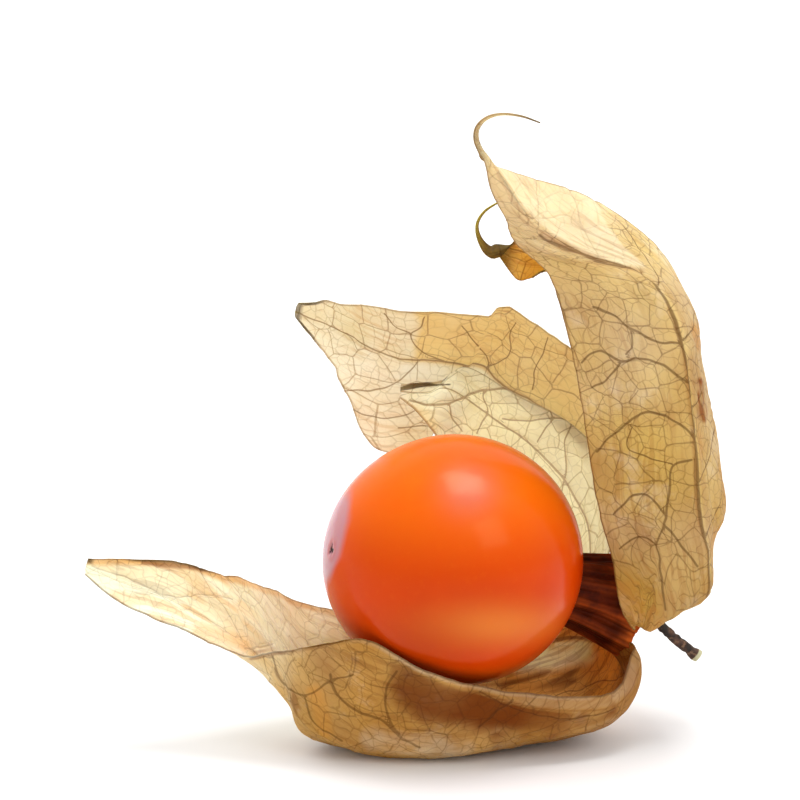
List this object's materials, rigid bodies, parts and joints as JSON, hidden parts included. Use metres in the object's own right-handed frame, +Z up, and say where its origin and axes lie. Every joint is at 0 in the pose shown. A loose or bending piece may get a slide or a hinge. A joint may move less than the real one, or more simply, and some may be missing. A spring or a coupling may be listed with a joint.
{
  "type": "physalis berry",
  "caption": "Ripe round physalis berry held in its dry papery husk, torn open into curled pointed sepals, with a short cut stem; lies on the husk's belly.",
  "frame": {"origin": "centre of the bounding box's bottom, on the surface that the husk lies on", "axes": "+Z up, +X from the berry's free end towards the stem, +Y away from the husk's open side"},
  "size_m": [0.0462, 0.0224, 0.0459],
  "materials": {
    "berry_skin": "smooth waxy orange skin with a soft gloss and a small dark style scar",
    "dark_calyx": "dark red-brown ribbed dry calyx base, satin",
    "dry_stem": "rough dark grey-brown bark with a pale cut end",
    "tan_husk": "tan dry membrane, translucent, with a raised net of brown veins",
    "amber_husk": "amber-brown dry membrane, translucent, with a net of brown veins",
    "pale_husk": "pale cream to straw dry membrane, translucent, with a net of fine brown veins"
  },
  "bodies": {
    "root": {"berry": "berry_skin", "calyx_collar": "dark_calyx", "stem": "dry_stem", "front_sepal": "tan_husk", "near_sepal": "tan_husk", "far_sepal": "amber_husk", "back_sepal": "pale_husk", "inner_sepal": "pale_husk"}
  },
  "joints": []
}
